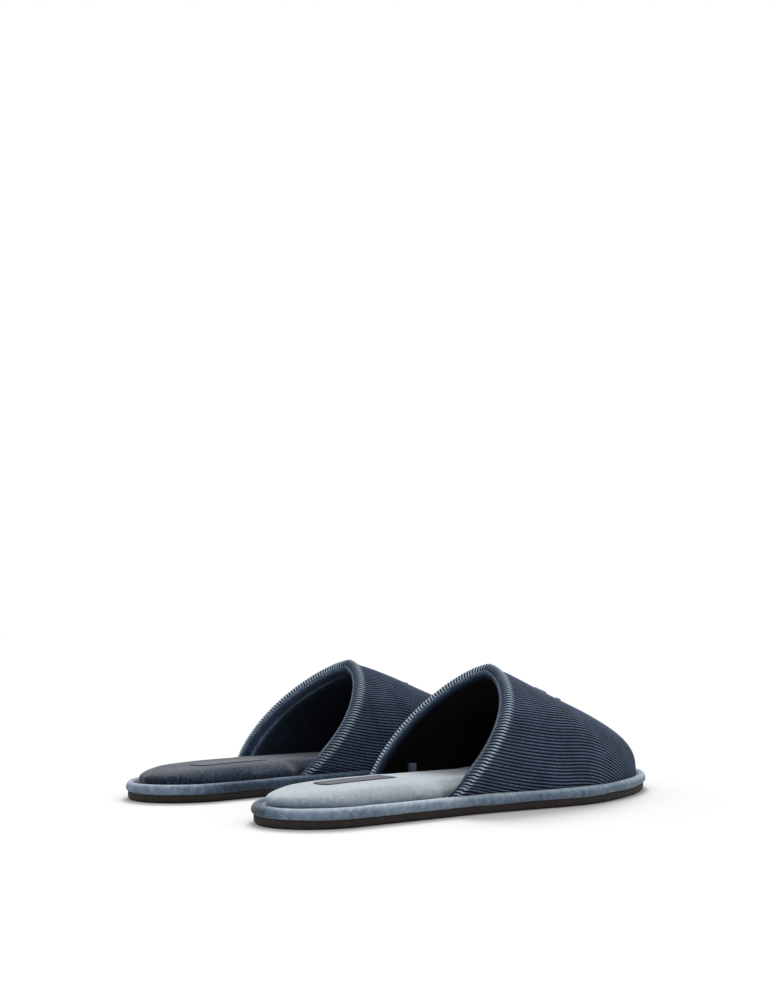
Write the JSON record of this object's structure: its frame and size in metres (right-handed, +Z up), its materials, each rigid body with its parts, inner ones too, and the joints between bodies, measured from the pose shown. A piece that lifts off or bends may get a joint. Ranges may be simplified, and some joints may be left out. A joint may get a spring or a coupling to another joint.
{
  "type": "pair of slippers",
  "caption": "Pair of closed-toe mule slippers: padded corduroy uppers open at the heel, domed velour footbeds, wrapped platforms and thin flat soles.",
  "frame": {"origin": "centre of the pair's bounding box at floor level, midway between the two soles", "axes": "+Z up, +Y towards the toes, +X towards the right slipper"},
  "size_m": [0.2368, 0.296, 0.0736],
  "materials": {
    "eva_sole": "dark brown-black EVA sheet, fine pebbled grain, matt cut edge",
    "fibre_board": "plain stiff board, hidden",
    "band_velour": "slate-blue knitted velour, soft nap with a pale sheen on the rounded edge",
    "foam": "soft open foam, hidden",
    "sock_velour": "plump blue velour, mottled nap that reads light or dark with its direction",
    "label_tape": "flat woven tape, dark grey-navy, plain",
    "navy_thread": "matt sewing thread",
    "corduroy": "fine-wale navy corduroy, cut pile with lighter blue-grey rib crowns",
    "lining_fabric": "smooth dark navy brushed lining",
    "blue_thread": "slate-blue sewing thread with a slight sheen",
    "motif_stitching": "raised satin stitching, slate blue",
    "tag_tape": "folded pale satin tape, plain"
  },
  "bodies": {
    "right_slipper": {"right_outsole": "eva_sole", "right_midsole_board": "fibre_board", "right_platform_band": "band_velour", "right_insole_foam": "foam", "right_sock_cover": "sock_velour", "right_heel_label": "label_tape", "right_welt_seam": "navy_thread", "right_vamp_outer": "corduroy", "right_vamp_padding": "foam", "right_vamp_lining": "lining_fabric", "right_edge_roll": "foam", "right_lining_seam": "blue_thread", "right_motif": "motif_stitching", "right_size_tag": "tag_tape"},
    "left_slipper": {"left_outsole": "eva_sole", "left_midsole_board": "fibre_board", "left_platform_band": "band_velour", "left_insole_foam": "foam", "left_sock_cover": "sock_velour", "left_heel_label": "label_tape", "left_welt_seam": "navy_thread", "left_vamp_outer": "corduroy", "left_vamp_padding": "foam", "left_vamp_lining": "lining_fabric", "left_edge_roll": "foam", "left_lining_seam": "blue_thread", "left_motif": "motif_stitching", "left_size_tag": "tag_tape"}
  },
  "joints": [
    {"name": "left_lift", "type": "slide", "parent": "right_slipper", "child": "left_slipper", "axis": [0, 0, 1], "range_m": [0, 0.15]}
  ]
}
